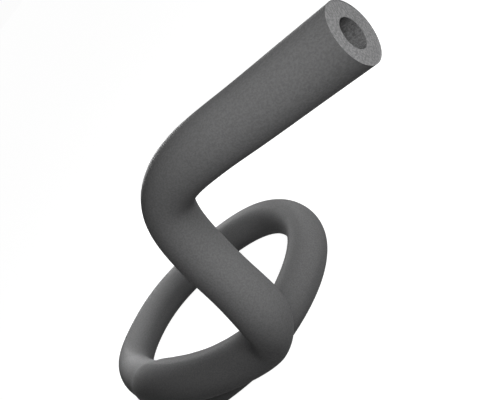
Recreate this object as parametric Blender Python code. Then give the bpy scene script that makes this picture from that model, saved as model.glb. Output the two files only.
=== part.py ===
"""Pipe insulation lagging: one metre of closed-cell rubber foam tube, for a 15 mm copper pipe.

The tube is one extruded piece.  It lies on the floor in a single loose loop, crosses over itself,
and its free end stands up and away from the loop, level, with a slanted knife cut.  The end that
lies on the floor is cut square.

Units are metres and +Z is up.  The origin is at the middle of the footprint, on the floor, and
+X is the way in which the free end points.
"""

import math

import bmesh
import bpy
import numpy as np
from mathutils import Matrix, Vector

# Driving dimensions of the stock
LENGTH = 1.0
BORE_DIAMETER = 0.017
WALL = 0.009

# The free end's cut: the way its face looks, in degrees round from +X and up from level
CUT_TURN = -15.8
CUT_RISE = 12.7

# A bend flattens the tube.  SQUASH is the most that the section can lose across the bend, BULGE
# is how much of that it gains the other way, and SQUASH_ONSET sets how tight a bend it takes.
SQUASH = 0.15
BULGE = 0.6
SQUASH_ONSET = 0.12

# Spacing of the sections: the longest straight step, and the most that a step may turn
LONGEST_STEP = 0.022
MOST_TURN = math.radians(13.0)
SIDES = 20
PATH_SAMPLES = 6000

# A curvature below this, in turns of one radian per metre, counts as straight
STRAIGHT = 1e-6

# Edges that fold more than this stay sharp when the mesh is shaded
SHARP_FOLD = math.radians(50.0)

# Height of the centre line where the tube lies on the floor, its bends bulging down to it
FLOOR_LINE = 0.0189

# The route of the centre line, from the free end to the end on the floor
ARM_Y = -0.037
ARM_Z = 0.187
ROUTE = [
    (0.188, ARM_Y, ARM_Z),
    (0.154, ARM_Y, ARM_Z),
    (0.121, ARM_Y, ARM_Z),
    (0.089, ARM_Y, ARM_Z),
    (0.049, -0.037, 0.173),
    (0.039, -0.051, 0.133),
    (0.044, -0.076, 0.082),
    (0.022, -0.074, 0.053),
    (-0.033, -0.079, 0.051),
    (-0.094, -0.069, 0.054),
    (-0.148, -0.041, 0.025),
    (-0.178, -0.014, FLOOR_LINE),
    (-0.159, 0.029, FLOOR_LINE),
    (-0.097, 0.065, FLOOR_LINE),
    (-0.025, 0.079, FLOOR_LINE),
    (0.027, 0.065, FLOOR_LINE),
    (0.050, 0.031, FLOOR_LINE),
    (0.034, -0.016, FLOOR_LINE),
    (-0.018, -0.056, FLOOR_LINE),
    (-0.097, -0.078, FLOOR_LINE),
]
START_DIRECTION = (-1.0, 0.0, 0.0)
END_TURN = -165.0

FOAM_COLOUR = (0.105, 0.105, 0.107, 1.0)
FOAM_ROUGHNESS = 0.88


def clear_scene():
    for thing in list(bpy.data.objects):
        bpy.data.objects.remove(thing, do_unlink=True)


def smooth_path(points, first_slope, last_slope, samples):
    """Points along the smooth cubic curve through the route, with the two end slopes given."""
    points = np.array(points)
    spans = np.linalg.norm(np.diff(points, axis=0), axis=1)
    count = len(points)
    system = np.eye(count)
    known = np.zeros((count, 3))
    known[0] = first_slope
    known[-1] = last_slope
    for i in range(1, count - 1):
        before, after = spans[i - 1], spans[i]
        system[i, i - 1:i + 2] = (1 / before, 2 / before + 2 / after, 1 / after)
        known[i] = 3 * ((points[i] - points[i - 1]) / before**2 + (points[i + 1] - points[i]) / after**2)
    slopes = np.linalg.solve(system, known)

    knots = np.concatenate([[0.0], np.cumsum(spans)])
    places = np.linspace(0.0, knots[-1], samples)
    span = np.clip(np.searchsorted(knots, places, side="right") - 1, 0, count - 2)
    width = spans[span][:, None]
    t = (places - knots[span])[:, None] / width
    return (
        (2 * t**3 - 3 * t**2 + 1) * points[span]
        + (t**3 - 2 * t**2 + t) * width * slopes[span]
        + (3 * t**2 - 2 * t**3) * points[span + 1]
        + (t**3 - t**2) * width * slopes[span + 1]
    )


def stations():
    """Centre, direction and curvature of the tube at each of its sections.

    The sections stand closer together where the tube bends.
    """
    end_turn = math.radians(END_TURN)
    end_direction = (math.cos(end_turn), math.sin(end_turn), 0.0)
    path = smooth_path(ROUTE, START_DIRECTION, end_direction, PATH_SAMPLES)
    run = np.concatenate([[0.0], np.cumsum(np.linalg.norm(np.diff(path, axis=0), axis=1))])
    directions = np.gradient(path, run, axis=0)
    directions /= np.linalg.norm(directions, axis=1)[:, None]
    bends = np.gradient(directions, run, axis=0)

    density = 1 / LONGEST_STEP + np.linalg.norm(bends, axis=1) / MOST_TURN
    steps = np.concatenate([[0.0], np.cumsum((density[1:] + density[:-1]) / 2 * np.diff(run))])
    whole = np.interp(LENGTH, run, steps)
    marks = np.linspace(0.0, whole, math.ceil(whole) + 1)
    places = np.interp(marks, steps, run)

    def at(values):
        return [Vector([np.interp(place, run, column) for column in values.T]) for place in places]

    return at(path), [d.normalized() for d in at(directions)], at(bends)


def carried_sides(directions):
    """A side direction for each section, carried along the tube without twisting about it."""
    side = Vector((0.0, 0.0, 1.0)).cross(directions[0]).normalized()
    sides = [side]
    for before, after in zip(directions, directions[1:]):
        side = before.rotation_difference(after) @ side
        side = (side - after * side.dot(after)).normalized()
        sides.append(side)
    return sides


def half_widths(bend):
    """The outer half widths of the section: across the bend, and square to it."""
    radius = BORE_DIAMETER / 2 + WALL
    tightness = (bend.length * radius) ** 2
    share = tightness / (SQUASH_ONSET + tightness)
    return radius * (1 - SQUASH * share), radius * (1 + SQUASH * BULGE * share)


def section_matrix(centre, direction, side, bend, inset):
    """The matrix that turns a unit circle into one section, drawn in by inset."""
    across, square = (width - inset for width in half_widths(bend))
    up = direction.cross(side)
    inward = bend.normalized() if bend.length > STRAIGHT else side
    over = direction.cross(inward)

    def placed(unit):
        return inward * (unit.dot(inward) * across) + over * (unit.dot(over) * square)

    matrix = Matrix.Identity(4)
    matrix.col[0].xyz = placed(side)
    matrix.col[1].xyz = placed(up)
    matrix.col[2].xyz = direction
    matrix.col[3].xyz = centre
    return matrix


def slanted(matrix, direction, face_normal):
    """Slide a section's points along the tube on to the plane of the slanted cut."""
    for i in (0, 1):
        spoke = matrix.col[i].xyz
        matrix.col[i].xyz = spoke - direction * (spoke.dot(face_normal) / direction.dot(face_normal))
    return matrix


def add_ring(mesh, matrix):
    ring = bmesh.ops.create_circle(mesh, cap_ends=False, segments=SIDES, radius=1.0, matrix=matrix)
    return ring["verts"]


def join_rings(mesh, first, second):
    """A band of faces between two rings, side by side."""
    for i in range(SIDES):
        j = (i + 1) % SIDES
        mesh.faces.new((first[i], first[j], second[j], second[i]))


def foam_material():
    material = bpy.data.materials.new("grey_foam")
    material.use_nodes = True
    surface = material.node_tree.nodes["Principled BSDF"]
    surface.inputs["Base Color"].default_value = FOAM_COLOUR
    surface.inputs["Roughness"].default_value = FOAM_ROUGHNESS
    surface.inputs["Metallic"].default_value = 0.0
    return material


def build_foam_tube(collection):
    """Loft the outer skin and the bore, and close the wall at both ends."""
    centres, directions, bends = stations()
    sides = carried_sides(directions)
    turn, rise = math.radians(CUT_TURN), math.radians(CUT_RISE)
    cut_normal = Vector((
        math.cos(rise) * math.cos(turn),
        math.cos(rise) * math.sin(turn),
        math.sin(rise),
    ))

    work = bmesh.new()
    skins = []
    for inset in (0.0, WALL):
        rings = []
        for i, centre in enumerate(centres):
            matrix = section_matrix(centre, directions[i], sides[i], bends[i], inset)
            if i == 0:
                matrix = slanted(matrix, directions[i], cut_normal)
            rings.append(add_ring(work, matrix))
        for first, second in zip(rings, rings[1:]):
            join_rings(work, first, second)
        skins.append(rings)
    outer, bore = skins
    join_rings(work, outer[0], bore[0])
    join_rings(work, outer[-1], bore[-1])
    bmesh.ops.recalc_face_normals(work, faces=work.faces)

    mesh = bpy.data.meshes.new("foam_tube")
    work.to_mesh(mesh)
    work.free()
    mesh.shade_smooth()
    mesh.set_sharp_from_angle(angle=SHARP_FOLD)
    mesh.materials.append(foam_material())
    tube = bpy.data.objects.new("foam_tube", mesh)
    collection.objects.link(tube)
    return tube


def main():
    clear_scene()
    collection = bpy.data.collections.new("pipe_insulation_lagging")
    bpy.context.scene.collection.children.link(collection)
    build_foam_tube(collection)


main()
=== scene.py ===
# %% [markdown]
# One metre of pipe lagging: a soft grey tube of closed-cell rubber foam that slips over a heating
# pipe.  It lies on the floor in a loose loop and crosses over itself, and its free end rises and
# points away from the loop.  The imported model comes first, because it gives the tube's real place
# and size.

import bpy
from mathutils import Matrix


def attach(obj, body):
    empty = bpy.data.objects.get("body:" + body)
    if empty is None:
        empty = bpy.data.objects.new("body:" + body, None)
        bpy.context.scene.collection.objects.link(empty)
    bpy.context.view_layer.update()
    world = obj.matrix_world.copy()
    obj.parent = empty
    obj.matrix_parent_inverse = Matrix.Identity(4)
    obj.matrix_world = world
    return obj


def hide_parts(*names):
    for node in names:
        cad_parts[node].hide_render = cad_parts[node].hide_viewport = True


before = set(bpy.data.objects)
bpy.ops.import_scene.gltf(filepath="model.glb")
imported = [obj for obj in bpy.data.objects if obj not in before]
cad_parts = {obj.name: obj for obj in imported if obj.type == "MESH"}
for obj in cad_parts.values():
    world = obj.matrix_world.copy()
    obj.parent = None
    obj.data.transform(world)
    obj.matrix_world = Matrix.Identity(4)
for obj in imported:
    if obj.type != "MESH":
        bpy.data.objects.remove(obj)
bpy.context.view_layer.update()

# %% [markdown]
# The camera stands where the photographer's did: close, looking down at the loop, and rolled well
# over to one side, so that the level free end seems to climb across the picture.  The lens is a
# reading: with this one the loop comes out nearly round.  Nothing is out of focus.

# %% Camera
import math

import bmesh
import bpy
import numpy as np
from mathutils import Matrix, Vector

CAMERA_PLACE = (0.20494, -0.22838, 0.29352)
CAMERA_TURN = (41.592, 41.089, -4.352)
CAMERA_LENS = 32.4

scene = bpy.context.scene
camera = bpy.data.objects.new("camera", bpy.data.cameras.new("camera"))
scene.collection.objects.link(camera)
camera.location = CAMERA_PLACE
camera.rotation_euler = [math.radians(turn) for turn in CAMERA_TURN]
camera.data.sensor_fit = "HORIZONTAL"
camera.data.sensor_width = 36.0
camera.data.lens = CAMERA_LENS
camera.data.clip_start = 0.01
camera.data.dof.use_dof = False
scene.camera = camera
view = camera.rotation_euler.to_matrix() @ Vector((0.0, 0.0, -1.0))
print("camera looks along", [round(value, 3) for value in view])

# %% [markdown]
# The tube's centre line is a smooth curve through twenty points, the same ones that the solid model
# is made from.  It runs from the raised free end, down through two elbows, across the loop, round
# the left bend, along the far side, round the right bend and back under itself to the other end.
# A bending rubber tube takes up a smooth curve, so a cubic spline suits it better than arcs.

# %% Route of the centre line
LENGTH = 1.0
FLOOR_LINE = 0.0189
ARM_Y = -0.037
ARM_Z = 0.187
ROUTE = [
    (0.188, ARM_Y, ARM_Z), (0.154, ARM_Y, ARM_Z), (0.121, ARM_Y, ARM_Z), (0.089, ARM_Y, ARM_Z),
    (0.049, -0.037, 0.173), (0.039, -0.051, 0.133), (0.044, -0.076, 0.082), (0.022, -0.074, 0.053),
    (-0.033, -0.079, 0.051), (-0.094, -0.069, 0.054), (-0.148, -0.041, 0.025),
    (-0.178, -0.014, FLOOR_LINE), (-0.159, 0.029, FLOOR_LINE), (-0.097, 0.065, FLOOR_LINE),
    (-0.025, 0.079, FLOOR_LINE), (0.027, 0.065, FLOOR_LINE), (0.050, 0.031, FLOOR_LINE),
    (0.034, -0.016, FLOOR_LINE), (-0.018, -0.056, FLOOR_LINE), (-0.097, -0.078, FLOOR_LINE),
]
START_DIRECTION = (-1.0, 0.0, 0.0)
END_TURN = math.radians(-165.0)
END_DIRECTION = (math.cos(END_TURN), math.sin(END_TURN), 0.0)
PATH_SAMPLES = 6000


def smooth_path(points, first_slope, last_slope, samples):
    """Points along the smooth cubic curve through the route, with the two end slopes given."""
    points = np.array(points)
    spans = np.linalg.norm(np.diff(points, axis=0), axis=1)
    count = len(points)
    system = np.eye(count)
    known = np.zeros((count, 3))
    known[0] = first_slope
    known[-1] = last_slope
    for i in range(1, count - 1):
        before, after = spans[i - 1], spans[i]
        system[i, i - 1:i + 2] = (1 / before, 2 / before + 2 / after, 1 / after)
        arriving = (points[i] - points[i - 1]) / before**2
        leaving = (points[i + 1] - points[i]) / after**2
        known[i] = 3 * (arriving + leaving)
    slopes = np.linalg.solve(system, known)
    knots = np.concatenate([[0.0], np.cumsum(spans)])
    places = np.linspace(0.0, knots[-1], samples)
    span = np.clip(np.searchsorted(knots, places, side="right") - 1, 0, count - 2)
    width = spans[span][:, None]
    t = (places - knots[span])[:, None] / width
    return (
        (2 * t**3 - 3 * t**2 + 1) * points[span]
        + (t**3 - 2 * t**2 + t) * width * slopes[span]
        + (3 * t**2 - 2 * t**3) * points[span + 1]
        + (t**3 - t**2) * width * slopes[span + 1]
    )


path = smooth_path(ROUTE, START_DIRECTION, END_DIRECTION, PATH_SAMPLES)
run = np.concatenate([[0.0], np.cumsum(np.linalg.norm(np.diff(path, axis=0), axis=1))])
path_directions = np.gradient(path, run, axis=0)
path_directions /= np.linalg.norm(path_directions, axis=1)[:, None]
path_bends = np.gradient(path_directions, run, axis=0)
print("route is", round(float(run[-1]), 4), "m long")

# %% [markdown]
# The skin is built from rings that stand along the centre line.  They stand closer together in the
# bends, so that a tight bend stays round without spending faces on the straight stretches.
# The first and last rings stand a little beyond the ends: the knife cuts come later, as in life.
# No ring stands where the slanted cut runs, so the cut goes through long, straight faces only.

# %% Stations along the tube
LONGEST_STEP = 0.005
MOST_TURN = math.radians(2.6)
OVERRUN = 0.014
CUT_REACH = 0.009

density = 1 / LONGEST_STEP + np.linalg.norm(path_bends, axis=1) / MOST_TURN
steps = np.concatenate([[0.0], np.cumsum((density[1:] + density[:-1]) / 2 * np.diff(run))])
whole = np.interp(LENGTH, run, steps)
places = np.interp(np.linspace(0.0, whole, math.ceil(whole) + 1), steps, run)
places = places[(places == 0.0) | (places > CUT_REACH)]


def along(values):
    """Values that are known all along the route, read at each station."""
    return [Vector([np.interp(place, run, column) for column in values.T]) for place in places]


centres = along(path)
directions = [direction.normalized() for direction in along(path_directions)]
bends = along(path_bends)

first_centre = centres[0] - directions[0] * OVERRUN
last_centre = centres[-1] + directions[-1] * OVERRUN
centres = [first_centre] + centres[1:] + [last_centre]
directions = directions + [directions[-1]]
bends = bends + [bends[-1]]
places = np.concatenate([[-OVERRUN], places[1:], [LENGTH + OVERRUN]])
print(len(centres), "stations")

# %% [markdown]
# Each ring needs a direction that counts as its side.  It is carried from ring to ring by the
# smallest turn, so that the foam isn't twisted about its own line.
# A bend flattens a soft tube: the section loses a little across the bend and bulges the other way.
# Where the line bends by next to nothing, it counts as straight and the section stays round.

# %% Shape of the section
BORE_DIAMETER = 0.017
WALL = 0.009
SQUASH = 0.15
BULGE = 0.6
SQUASH_ONSET = 0.12
STRAIGHT = 1e-6

sides = [Vector((0.0, 0.0, 1.0)).cross(directions[0]).normalized()]
for before, after in zip(directions, directions[1:]):
    side = before.rotation_difference(after) @ sides[-1]
    sides.append((side - after * side.dot(after)).normalized())


def half_widths(bend):
    """The outer half widths of the section: across the bend, and square to it."""
    radius = BORE_DIAMETER / 2 + WALL
    tightness = (bend.length * radius) ** 2
    share = tightness / (SQUASH_ONSET + tightness)
    return radius * (1 - SQUASH * share), radius * (1 + SQUASH * BULGE * share)


def section_matrix(station, inset):
    """The matrix that turns a unit circle into one section, drawn in by inset."""
    direction, side, bend = directions[station], sides[station], bends[station]
    across, square = (width - inset for width in half_widths(bend))
    inward = bend.normalized() if bend.length > STRAIGHT else side
    over = direction.cross(inward)
    matrix = Matrix.Identity(4)
    for column, unit in enumerate((side, direction.cross(side))):
        inward_part = inward * (unit.dot(inward) * across)
        over_part = over * (unit.dot(over) * square)
        matrix.col[column].xyz = inward_part + over_part
    matrix.col[2].xyz = direction
    matrix.col[3].xyz = centres[station]
    return matrix


tightest = half_widths(max(bends, key=lambda bend: bend.length))
print("section at the tightest bend, mm:", [round(2000 * width, 1) for width in tightest])

# %% [markdown]
# Where soft foam is bent or leans on itself for long, one side of it presses flat, and a faint
# crease runs along each side of the flat.  Two such flats show on this tube: a long one on the
# inner and upper side, from the lower elbow round the left bend, and one on the outside of the
# right bend.  Each is given by the stretch that it covers, the way it faces, and how far its sides
# swell, and it fades in and out over a few centimetres.  The sides are pushed out first and the
# top is then held down, which makes the crease between them.

# %% Pressed flats
FLATS = [
    (0.275, 0.560, Vector((0.500, 0.600, 0.620)), 0.05),
    (0.775, 0.885, Vector((0.860, -0.300, -0.100)), 0.08),
]
FLAT_FADE = 0.050
CREASE_GIVE = 0.2


def pressed(station, offset, reach):
    """Move one point of the skin, given from its centre, to where the flats leave it."""
    place, direction = places[station], directions[station]
    for first, last, facing, swell in FLATS:
        depth = min(place - first, last - place) / FLAT_FADE
        weight = min(max(depth, 0.0), 1.0)
        outward = (facing - direction * facing.dot(direction)).normalized()
        height = offset.dot(outward)
        if weight == 0.0 or height <= 0.0:
            continue
        raised = height * (1 + swell)
        if raised > reach:
            raised = reach + (raised - reach) * CREASE_GIVE
        weight = weight * weight * (3 - 2 * weight)
        offset = offset + outward * (raised - height) * weight
    return offset


covered = [round(1000 * (last - first)) for first, last, _, _ in FLATS]
print("flats cover", covered, "mm of the tube")

# %% [markdown]
# Now the two skins.  Each begins as a flat sheet of small square faces, one row of them for each
# station and one column for each step round the tube.  Rolling the sheet up through the sections'
# matrices lays it round the centre line, and its two long edges are welded where they meet.
# The sheet brings a UV map with it, so U runs along the tube and V round it, through every bend.
# U is then set to the real distance from the free end, in metres.

# %% Outer skin and bore
SIDES = 64
SKIN, BORE, CUT, RIM = 0, 1, 2, 3
WELD = 1e-6

foam = bmesh.new()


def rolled_sheet(inset, finish):
    """Roll a flat sheet up round the centre line, and weld its long edges."""
    uv_layer = foam.loops.layers.uv.active
    old_faces = set(foam.faces)
    rows = len(centres) - 1
    sheet = bmesh.ops.create_grid(
        foam, x_segments=rows, y_segments=SIDES, size=1.0, calc_uvs=True,
    )["verts"]
    matrices = [section_matrix(station, inset) for station in range(len(centres))]
    for vert in sheet:
        station = round((vert.co.x + 1) / 2 * rows)
        angle = round((vert.co.y + 1) / 2 * SIDES) * math.tau / SIDES
        point = matrices[station] @ Vector((math.cos(angle), math.sin(angle), 0.0))
        if finish == SKIN:
            offset = pressed(station, point - centres[station], BORE_DIAMETER / 2 + WALL)
            point = centres[station] + offset
        vert.co = point
        for loop in vert.link_loops:
            loop[uv_layer].uv.x = places[station]
    bmesh.ops.remove_doubles(foam, verts=sheet, dist=WELD)
    for face in foam.faces:
        if face not in old_faces:
            face.material_index = finish
            face.smooth = True


foam.loops.layers.uv.new("along_and_around")
for inset, finish in ((0.0, SKIN), (WALL, BORE)):
    rolled_sheet(inset, finish)
print("skins have", len(foam.faces), "faces")

# %% [markdown]
# The tube is cut from a long roll with a knife.  The free end's cut is slanted, and the end on the
# floor is cut square.  A plane through the mesh does what the knife does, and what lies beyond it
# is thrown away.  Only the last three centimetres at each end are given to the knife, because the
# same plane also runs through other parts of the loop.  The wall is then closed across each cut,
# from the outer edge to the bore.

# %% Knife cuts
CUT_TURN = -15.8
CUT_RISE = 12.7
KNIFE_REACH = 0.03


def compass(turn, rise):
    """A direction, given in degrees round from +X and degrees up from level."""
    turn, rise = math.radians(turn), math.radians(rise)
    level = math.cos(rise)
    return Vector((level * math.cos(turn), level * math.sin(turn), math.sin(rise)))


def knife_cut(place, facing, first_place, last_place):
    """Cut the stretch between two places on a plane, drop what is beyond, and close the wall."""
    uv_layer = foam.loops.layers.uv.active
    stretch = [
        face for face in foam.faces
        if all(first_place < loop[uv_layer].uv.x < last_place for loop in face.loops)
    ]
    # Each part once, in the order of the faces
    parts = dict.fromkeys(part for face in stretch for part in (face, *face.verts, *face.edges))
    made = bmesh.ops.bisect_plane(
        foam, geom=list(parts), dist=WELD, plane_co=place, plane_no=facing, clear_outer=True,
    )
    rim = [item for item in made["geom_cut"] if isinstance(item, bmesh.types.BMEdge)]
    filled = bmesh.ops.triangle_fill(foam, use_beauty=True, edges=rim, normal=facing)["geom"]
    wall = [item for item in filled if isinstance(item, bmesh.types.BMFace)]
    for face in wall:
        face.material_index = CUT
    return wall


free_end = Vector(ROUTE[0])
free_wall = knife_cut(free_end, compass(CUT_TURN, CUT_RISE), -KNIFE_REACH, KNIFE_REACH)
floor_end = centres[-1] - directions[-1] * OVERRUN
floor_wall = knife_cut(floor_end, directions[-1], LENGTH - KNIFE_REACH, LENGTH + KNIFE_REACH)
print("cut faces:", len(free_wall), "and", len(floor_wall))

# %% [markdown]
# A knife leaves a crisp edge on foam, but never a perfect one: the outermost half millimetre gives
# way and rounds over, and the edge of the bore a little less.  Small bevels on both cuts do the
# same, and give the light an edge to catch.  The rims are found as the edges where two different
# finishes meet.

# %% Rims of the cuts
OUTER_ROUNDING = 0.0005
BORE_ROUNDING = 0.0002

for between, rounding, finish in (
    ({SKIN, CUT}, OUTER_ROUNDING, RIM),
    ({BORE, CUT}, BORE_ROUNDING, CUT),
):
    rims = [
        edge for edge in foam.edges
        if {face.material_index for face in edge.link_faces} == between
    ]
    rounded = bmesh.ops.bevel(
        foam, geom=rims, offset=rounding, segments=2, profile=0.5, affect="EDGES", material=-1,
    )["faces"]
    for face in rounded:
        face.material_index = finish
    print(len(rims), "rim edges rounded by", 1000 * rounding, "mm")
bmesh.ops.recalc_face_normals(foam, faces=foam.faces)
print("open edges left:", sum(edge.is_boundary for edge in foam.edges))

# %% [markdown]
# The bmesh becomes a mesh object.  The skin and the bore are shaded smooth, and the folds at the
# rims stay crisp, because edges that turn by more than twenty degrees are marked as sharp.  The
# object is left at the origin, unturned: its place is in its mesh.

# %% Foam tube as an object
SHARP_FOLD = math.radians(20.0)
mesh = bpy.data.meshes.new("foam_lagging")
foam.to_mesh(mesh)
foam.free()
mesh.set_sharp_from_angle(angle=SHARP_FOLD)
lagging = bpy.data.objects.new("foam_lagging", mesh)
scene.collection.objects.link(lagging)
print("foam tube:", len(mesh.polygons), "faces,", len(mesh.uv_layers), "UV map")

# %% [markdown]
# Four small helpers keep the materials readable.  One feeds a number or another socket to a
# socket, one does sums, one maps a range of values on to another with soft ends, and one starts a
# new group with its named sockets.

# %% Node helpers


def feed(tree, value, socket):
    """Put a plain number on a socket, or link another socket to it."""
    if isinstance(value, (int, float)):
        socket.default_value = value
    else:
        tree.links.new(value, socket)


def sum_of(tree, operation, first, second=0.0, clamp=False):
    """One step of arithmetic on numbers or sockets."""
    made = tree.nodes.new("ShaderNodeMath")
    made.operation = operation
    made.use_clamp = clamp
    feed(tree, first, made.inputs[0])
    feed(tree, second, made.inputs[1])
    return made.outputs[0]


def spread(tree, value, low, high, to_low, to_high):
    """Map a value from one range to another, held inside it, with soft ends."""
    made = tree.nodes.new("ShaderNodeMapRange")
    made.interpolation_type = "SMOOTHSTEP"
    made.clamp = True
    feed(tree, value, made.inputs["Value"])
    made.inputs["From Min"].default_value = low
    made.inputs["From Max"].default_value = high
    made.inputs["To Min"].default_value = to_low
    made.inputs["To Max"].default_value = to_high
    return made.outputs["Result"]


def new_group(name, inputs, outputs):
    """An empty node group with named sockets, and its two ends."""
    group = bpy.data.node_groups.new(name, "ShaderNodeTree")
    for key, kind, default in inputs:
        group.interface.new_socket(key, in_out="INPUT", socket_type=kind).default_value = default
    for key in outputs:
        group.interface.new_socket(key, in_out="OUTPUT", socket_type="NodeSocketFloat")
    return group, group.nodes.new("NodeGroupInput"), group.nodes.new("NodeGroupOutput")


print("helpers:", [helper.__name__ for helper in (feed, sum_of, spread, new_group)])

# %% [markdown]
# Foam rubber is full of closed bubbles.  Under the skin they show as a soft mottling a millimetre
# or two across, and here and there one has broken through as a pore.  On a cut many more of them
# are open.  One node group makes both, and each finish places it with its own sizes.
# Voronoi cells stand for the bubbles, because packed bubbles meet in just such cells.  Each cell
# has a random colour of its own, and that picks which bubbles are open.  A pore is deepest near the
# middle of its cell and ends well inside it, which leaves a wall between neighbours.  The pores
# feed the bump, and they also darken the colour: that darkening is painted shade in their hollows.

# %% Foam cells
PORE_BOTTOM = 0.15
PORE_EDGE = 0.62

cells, given, result = new_group(
    "foam_cells",
    (
        ("Vector", "NodeSocketVector", (0.0, 0.0, 0.0)),
        ("Cell Size", "NodeSocketFloat", 0.0008),
        ("Mottle Size", "NodeSocketFloat", 0.003),
        ("Pore Share", "NodeSocketFloat", 0.2),
    ),
    ("Pores", "Mottle", "Relief"),
)
bubbles = cells.nodes.new("ShaderNodeTexVoronoi")
bubbles.feature = "F1"
feed(cells, given.outputs["Vector"], bubbles.inputs["Vector"])
feed(cells, sum_of(cells, "DIVIDE", 1.0, given.outputs["Cell Size"]), bubbles.inputs["Scale"])
hollow = spread(cells, bubbles.outputs["Distance"], PORE_BOTTOM, PORE_EDGE, 1.0, 0.0)
chance = cells.nodes.new("ShaderNodeSeparateColor")
feed(cells, bubbles.outputs["Color"], chance.inputs["Color"])
opened = sum_of(cells, "LESS_THAN", chance.outputs["Red"], given.outputs["Pore Share"])
pores = sum_of(cells, "MULTIPLY", hollow, opened)

mottle = cells.nodes.new("ShaderNodeTexNoise")
mottle.inputs["Detail"].default_value = 4.0
mottle.inputs["Roughness"].default_value = 0.6
feed(cells, given.outputs["Vector"], mottle.inputs["Vector"])
feed(cells, sum_of(cells, "DIVIDE", 1.0, given.outputs["Mottle Size"]), mottle.inputs["Scale"])

feed(cells, pores, result.inputs["Pores"])
feed(cells, mottle.outputs["Fac"], result.inputs["Mottle"])
feed(cells, sum_of(cells, "SUBTRACT", mottle.outputs["Fac"], pores), result.inputs["Relief"])
print("group foam_cells has", len(cells.nodes), "nodes")

# %% [markdown]
# The tube is pushed through a die while it is soft, and that leaves faint streaks along it, on the
# skin and in the bore.  They have to follow every bend, so they read the UV map and not the place.
# V runs from 0 to 1 round the tube, so its sine and cosine are used: the streaks then meet without
# a seam where the sheet was welded.

# %% Die streaks
streaks, given, result = new_group(
    "die_streaks",
    (
        ("UV", "NodeSocketVector", (0.0, 0.0, 0.0)),
        ("Streak Length", "NodeSocketFloat", 0.05),
        ("Streaks Round", "NodeSocketFloat", 12.0),
    ),
    ("Streaks",),
)
parts = streaks.nodes.new("ShaderNodeSeparateXYZ")
feed(streaks, given.outputs["UV"], parts.inputs["Vector"])
turn = sum_of(streaks, "MULTIPLY", parts.outputs["Y"], math.tau)
wound = streaks.nodes.new("ShaderNodeCombineXYZ")
lengthwise = sum_of(streaks, "DIVIDE", parts.outputs["X"], given.outputs["Streak Length"])
feed(streaks, lengthwise, wound.inputs["X"])
for axis, wave in (("Y", "COSINE"), ("Z", "SINE")):
    swing = sum_of(streaks, "MULTIPLY", sum_of(streaks, wave, turn), given.outputs["Streaks Round"])
    feed(streaks, swing, wound.inputs[axis])
drawn = streaks.nodes.new("ShaderNodeTexNoise")
drawn.inputs["Scale"].default_value = 1.0
drawn.inputs["Detail"].default_value = 2.0
feed(streaks, wound.outputs["Vector"], drawn.inputs["Vector"])
feed(streaks, drawn.outputs["Fac"], result.inputs["Streaks"])
print("group die_streaks has", len(streaks.nodes), "nodes")

# %% [markdown]
# A knife drawn through foam drags at it, and leaves faint ridges across the cut.  They are arcs,
# because the blade swings: here they lie parallel to the edge that the cut ended at.  Rings round
# a point some way off to the other side make them, and a little distortion keeps them from looking
# turned.  A wave texture draws twenty radians of rings to the unit, and that sets its scale for a
# given spacing.  The same group serves the cut faces and their rims.

# %% Knife marks
KNIFE_EXIT = Vector((0.752, -0.057, -0.657))
SWING_RADIUS = 0.035
MARK_SPACING = 0.0016
RINGS_PER_UNIT = 20.0 / math.tau

knife, given, result = new_group(
    "knife_marks",
    (
        ("Vector", "NodeSocketVector", (0.0, 0.0, 0.0)),
        ("Spacing", "NodeSocketFloat", MARK_SPACING),
    ),
    ("Marks",),
)
from_swing = knife.nodes.new("ShaderNodeVectorMath")
from_swing.operation = "SUBTRACT"
from_swing.inputs[1].default_value = free_end - KNIFE_EXIT * SWING_RADIUS
feed(knife, given.outputs["Vector"], from_swing.inputs[0])
ridges = knife.nodes.new("ShaderNodeTexWave")
ridges.wave_type = "RINGS"
ridges.rings_direction = "SPHERICAL"
ridges.inputs["Distortion"].default_value = 2.5
ridges.inputs["Detail Scale"].default_value = 0.6
feed(knife, from_swing.outputs["Vector"], ridges.inputs["Vector"])
ring_scale = sum_of(knife, "DIVIDE", 1.0 / RINGS_PER_UNIT, given.outputs["Spacing"])
feed(knife, ring_scale, ridges.inputs["Scale"])
feed(knife, ridges.outputs["Fac"], result.inputs["Marks"])
print("group knife_marks has", len(knife.nodes), "nodes")

# %% [markdown]
# All faces of the foam are the same rubber, so one helper builds their four finishes.  It mixes a
# darker and a lighter grey by the mottling, darkens the open pores as painted shade, adds the marks
# of the die or of the knife, and lets the same pattern drive the roughness and the bump, so that
# what looks like a pore also shades like one.
# The specular level is low and the same all over, so it is set on the shader's own socket.  The
# grey is a touch cool, so its blue stands a hundredth above its red and green.

# %% Foam finish helper
MOTTLE_LOW = 0.32
MOTTLE_HIGH = 0.68
COOL_TOUCH = 1.01


def placed_group(tree, group, **values):
    """A group node in a material, with its inputs given by name."""
    made = tree.nodes.new("ShaderNodeGroup")
    made.node_tree = group
    for key, value in values.items():
        feed(tree, value, made.inputs[key.replace("_", " ")])
    return made


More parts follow.
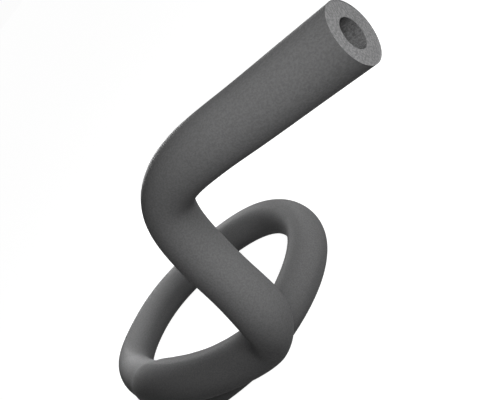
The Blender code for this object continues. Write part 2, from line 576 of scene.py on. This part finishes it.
def foam_finish(name, greys, sizes, pore_share, marks, shown, roughness, depth, specular):
    """A foam material; marks names the group that draws its marks, with the group's own inputs."""
    material = bpy.data.materials.new(name)
    material.use_nodes = True
    tree = material.node_tree
    surface = tree.nodes["Principled BSDF"]
    surface.inputs["Metallic"].default_value = 0.0
    surface.inputs["Specular IOR Level"].default_value = specular
    place = tree.nodes.new("ShaderNodeTexCoord")
    grain = placed_group(
        tree, cells, Vector=place.outputs["Object"],
        Cell_Size=sizes[0], Mottle_Size=sizes[1], Pore_Share=pore_share,
    )
    group, (socket, coordinates), values = marks
    lines = placed_group(tree, group, **{socket: place.outputs[coordinates]}, **values)
    strength = sum_of(tree, "MULTIPLY", sum_of(tree, "SUBTRACT", lines.outputs[0], 0.5), shown)
    mottled = spread(tree, grain.outputs["Mottle"], MOTTLE_LOW, MOTTLE_HIGH, 0.0, 1.0)
    marked = sum_of(tree, "ADD", mottled, strength)
    # Painted shade: the open pores are darkened in the colour
    tone = sum_of(tree, "SUBTRACT", marked, grain.outputs["Pores"], clamp=True)
    shades = tree.nodes.new("ShaderNodeValToRGB")
    for point, grey in zip(shades.color_ramp.elements, greys):
        point.color = (grey, grey, grey * COOL_TOUCH, 1.0)
    feed(tree, tone, shades.inputs["Fac"])
    feed(tree, shades.outputs["Color"], surface.inputs["Base Color"])
    dullness = spread(tree, tone, 0.0, 1.0, roughness[1], roughness[0])
    feed(tree, dullness, surface.inputs["Roughness"])
    bump = tree.nodes.new("ShaderNodeBump")
    bump.inputs["Distance"].default_value = depth
    feed(tree, sum_of(tree, "ADD", grain.outputs["Relief"], strength), bump.inputs["Height"])
    feed(tree, bump.outputs["Normal"], surface.inputs["Normal"])
    lagging.data.materials.append(material)
    print(name, "has", len(tree.nodes), "nodes")


print("mottling runs from", MOTTLE_LOW, "to", MOTTLE_HIGH)

# %% [markdown]
# The skin is the smooth outside that the die leaves: dark neutral grey, matt, with a soft grain.
# Its streaks are long and very faint.

# %% Skin
foam_finish(
    "foam_skin", greys=(0.098, 0.122), sizes=(0.0007, 0.0011), pore_share=0.10,
    marks=(streaks, ("UV", "UV"), {"Streak_Length": 0.040, "Streaks_Round": 14.0}), shown=0.25,
    roughness=(0.50, 0.62), depth=0.00003, specular=0.10,
)

# %% [markdown]
# The bore forms round a pin in the die, and wrinkles a little as the foam swells.  It is darker
# than the outside, and its wrinkles are short and run along the pipe, so its streaks are short too,
# and stronger than those of the skin.  The bump gives the wrinkles their relief, and their lighter
# and darker stripes in the colour are painted highlight and shade.

# %% Bore
# Painted highlight and shade: the strong, short streaks lighten and darken the bore's colour
foam_finish(
    "foam_bore", greys=(0.07, 0.115), sizes=(0.0006, 0.0008), pore_share=0.1,
    marks=(streaks, ("UV", "UV"), {"Streak_Length": 0.005, "Streaks_Round": 14.0}), shown=1.4,
    roughness=(0.6, 0.85), depth=0.00022, specular=0.2,
)

# %% [markdown]
# A cut goes through thousands of bubbles, so its face is paler and dull, with open pores all over.
# The rounded rim beside it is paler still: a painted highlight along the edge of the cut.

# %% Cut faces and rims
foam_finish(
    "foam_cut", greys=(0.110, 0.168), sizes=(0.0007, 0.0012), pore_share=0.35,
    marks=(knife, ("Vector", "Object"), {"Spacing": MARK_SPACING}), shown=0.35,
    roughness=(0.85, 1.0), depth=0.00014, specular=0.1,
)
# Painted highlight: the rim's greys are paler than the cut's
foam_finish(
    "foam_rim_painted_highlight", greys=(0.12, 0.19), sizes=(0.0006, 0.0010), pore_share=0.2,
    marks=(knife, ("Vector", "Object"), {"Spacing": MARK_SPACING}), shown=0.2,
    roughness=(0.75, 0.95), depth=0.00010, specular=0.2,
)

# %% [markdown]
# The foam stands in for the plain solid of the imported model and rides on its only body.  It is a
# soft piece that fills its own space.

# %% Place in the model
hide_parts("foam_tube")
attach(lagging, "root")

# %% [markdown]
# The floor is one large pale sheet that reaches far past the picture.  A product picture has a
# background that is lit by itself and goes almost white, with only a breath of shadow under the
# object.  So the floor glows towards the camera, glows less in reflections, where it gives the foam
# thin paler edges, and sends little light back up under the loop.

# %% Floor
FLOOR_REACH = 30.0
floor_mesh = bpy.data.meshes.new("floor")
floor_work = bmesh.new()
bmesh.ops.create_grid(floor_work, x_segments=1, y_segments=1, size=FLOOR_REACH)
floor_work.to_mesh(floor_mesh)
floor_work.free()
floor = bpy.data.objects.new("floor", floor_mesh)
scene.collection.objects.link(floor)

FLOOR_BOUNCE = 0.08
FLOOR_SEEN = 0.30
FLOOR_GLOW = 0.95
FLOOR_MIRRORED = 0.35
floor_finish = bpy.data.materials.new("pale_floor")
floor_finish.use_nodes = True
tree = floor_finish.node_tree
surface = tree.nodes["Principled BSDF"]
surface.inputs["Roughness"].default_value = 0.9
surface.inputs["Specular IOR Level"].default_value = 0.1
surface.inputs["Emission Color"].default_value = (1.0, 1.0, 1.0, 1.0)
rays = tree.nodes.new("ShaderNodeLightPath")
mirrored = sum_of(tree, "MULTIPLY", rays.outputs["Is Glossy Ray"], FLOOR_MIRRORED)
seen = sum_of(tree, "MAXIMUM", rays.outputs["Is Camera Ray"], mirrored)
grey = spread(tree, rays.outputs["Is Camera Ray"], 0.0, 1.0, FLOOR_BOUNCE, FLOOR_SEEN)
feed(tree, grey, surface.inputs["Base Color"])
feed(tree, sum_of(tree, "MULTIPLY", seen, FLOOR_GLOW), surface.inputs["Emission Strength"])
floor.data.materials.append(floor_finish)
print("floor is", tuple(round(side, 1) for side in floor.dimensions[:2]), "m across")

# %% [markdown]
# The light is soft and plain: five square soft boxes, none of which the camera sees.  The key
# stands beside the camera and is narrowed to the raised part.  A large one stands farther off, on
# the side that the free end points to.  Together they keep the raised end light, and let the loop
# fall away into a deeper grey.  Two low ones behind the loop light the insides of its bends and the
# crease along the flat, and a small narrow one picks out the left bend.  A dim, even sky fills in
# the rest, so that no side of the tube is lost in the dark.
#
# The key and the side lamp make no glints.  Seen from behind at a low angle, their mirror image
# would burn a hard white patch into the dull foam.  The picture's tones are left as the light makes
# them, so that white comes out white.

# %% Light
SKY = 0.11
SKY_SEEN = 0.97
world = bpy.data.worlds.new("studio")
scene.world = world
world.use_nodes = True
tree = world.node_tree
background = tree.nodes["Background"]
background.inputs["Color"].default_value = (1.0, 1.0, 1.0, 1.0)
rays = tree.nodes.new("ShaderNodeLightPath")
strength = spread(tree, rays.outputs["Is Camera Ray"], 0.0, 1.0, SKY, SKY_SEEN)
feed(tree, strength, background.inputs["Strength"])

LOOP_MIDDLE = Vector((-0.02, -0.02, 0.08))
RAISED_PART = Vector((0.085, -0.050, 0.145))
LEFT_BEND = Vector((-0.15, -0.02, 0.03))


def soft_box(name, aim, towards, distance, size, watts, cone=180.0, glints=True):
    """A square lamp that stands off from the point that it lights, hidden from the camera."""
    lamp = bpy.data.lights.new(name, "AREA")
    lamp.shape = "SQUARE"
    lamp.size = size
    lamp.spread = math.radians(cone)
    lamp.energy = watts
    light = bpy.data.objects.new(name, lamp)
    scene.collection.objects.link(light)
    light.location = aim + towards * distance
    light.rotation_euler = towards.to_track_quat("Z", "Y").to_euler()
    light.visible_camera = False
    light.visible_glossy = glints


soft_box(
    "key", RAISED_PART, compass(-47.0, 36.0),
    distance=0.26, size=0.13, watts=0.135, cone=76.0, glints=False,
)
soft_box(
    "side", LOOP_MIDDLE, compass(3.0, 24.0),
    distance=0.75, size=0.38, watts=3.9, glints=False,
)
soft_box("back", LOOP_MIDDLE, compass(118.0, 10.0), distance=0.38, size=0.19, watts=0.95)
soft_box("bend", LEFT_BEND, compass(66.0, 48.0), distance=0.25, size=0.10, watts=0.085, cone=50.0)
soft_box("low", LOOP_MIDDLE, compass(66.0, 8.0), distance=0.36, size=0.19, watts=0.42)
scene.view_settings.view_transform = "Standard"
